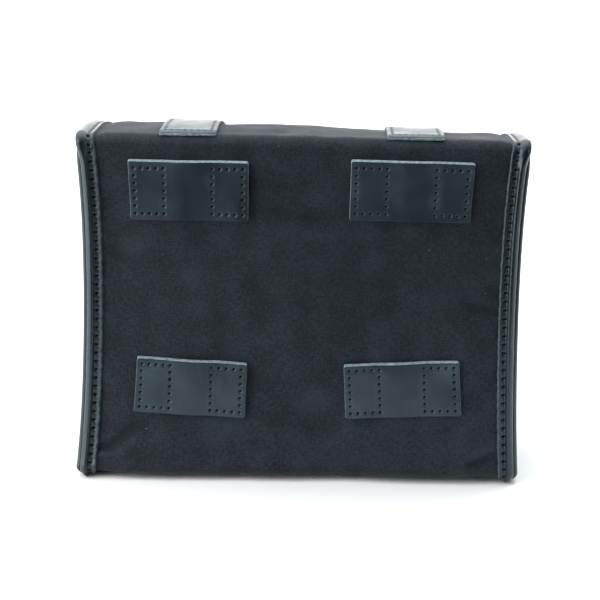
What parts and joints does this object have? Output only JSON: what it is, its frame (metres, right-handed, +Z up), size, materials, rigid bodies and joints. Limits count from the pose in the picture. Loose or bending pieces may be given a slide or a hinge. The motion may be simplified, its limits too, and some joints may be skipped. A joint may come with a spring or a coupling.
{
  "type": "pannier bag",
  "caption": "Small boxy waxed-canvas and leather pannier bag with a hinged lid, buckled straps on snap closures and leather rack loops on its back.",
  "frame": {"origin": "on the floor plane, under the middle of the bag's outline", "axes": "+Z up; +X along the bag's width, to the right when the rack side is looked at; +Y towards the buckled front; the rack side faces -Y"},
  "size_m": [0.2806, 0.131, 0.2225],
  "materials": {
    "waxed_canvas": "waxed cotton, nearly matt",
    "side_leather": "smooth black leather, soft sheen",
    "strap_leather": "thick strap leather, satin, raw cut edges",
    "binding_leather": "thin folded leather",
    "lining_cotton": "plain cotton lining",
    "board_plastic": "stiffening board",
    "nickel": "nickel plated"
  },
  "bodies": {
    "bag": {"side_panel_left": "side_leather", "side_panel_right": "side_leather", "canvas_body": "waxed_canvas", "back_board": "board_plastic", "base_board": "board_plastic", "lining": "lining_cotton", "mouth_binding": "binding_leather", "rack_loop_upper_left": "strap_leather", "rack_loop_upper_right": "strap_leather", "rack_loop_lower_left": "strap_leather", "rack_loop_lower_right": "strap_leather", "snap_base_left": "nickel", "snap_base_right": "nickel"},
    "lid": {"lid_canvas": "waxed_canvas", "lid_edge_left": "side_leather", "lid_edge_right": "side_leather", "lid_binding": "binding_leather", "strap_left": "strap_leather", "buckle_frame_left": "nickel", "buckle_prong_left": "nickel", "tongue_end_left": "strap_leather", "keeper_left": "strap_leather", "strap_right": "strap_leather", "buckle_frame_right": "nickel", "buckle_prong_right": "nickel", "tongue_end_right": "strap_leather", "keeper_right": "strap_leather"},
    "closure_left": {"tongue_left": "strap_leather", "snap_cap_left": "nickel"},
    "roller_left": {"buckle_roller_left": "nickel"},
    "closure_right": {"tongue_right": "strap_leather", "snap_cap_right": "nickel"},
    "roller_right": {"buckle_roller_right": "nickel"}
  },
  "joints": [
    {"name": "lid_hinge", "type": "hinge", "parent": "bag", "child": "lid", "pos_m": [0, -0.061, 0.2175], "axis": [1, 0, 0], "range_deg": [0, 130]},
    {"name": "closure_left_swing", "type": "hinge", "parent": "lid", "child": "closure_left", "pos_m": [-0.069, 0.05565, 0.0808], "axis": [1, 0, 0], "range_deg": [0, 80]},
    {"name": "closure_right_swing", "type": "hinge", "parent": "lid", "child": "closure_right", "pos_m": [0.069, 0.05565, 0.0808], "axis": [1, 0, 0], "range_deg": [0, 80]},
    {"name": "roller_left_spin", "type": "hinge", "parent": "lid", "child": "roller_left", "pos_m": [-0.069, 0.05855, 0.084], "axis": [1, 0, 0], "continuous": true},
    {"name": "roller_right_spin", "type": "hinge", "parent": "lid", "child": "roller_right", "pos_m": [0.069, 0.05855, 0.084], "axis": [1, 0, 0], "continuous": true}
  ]
}
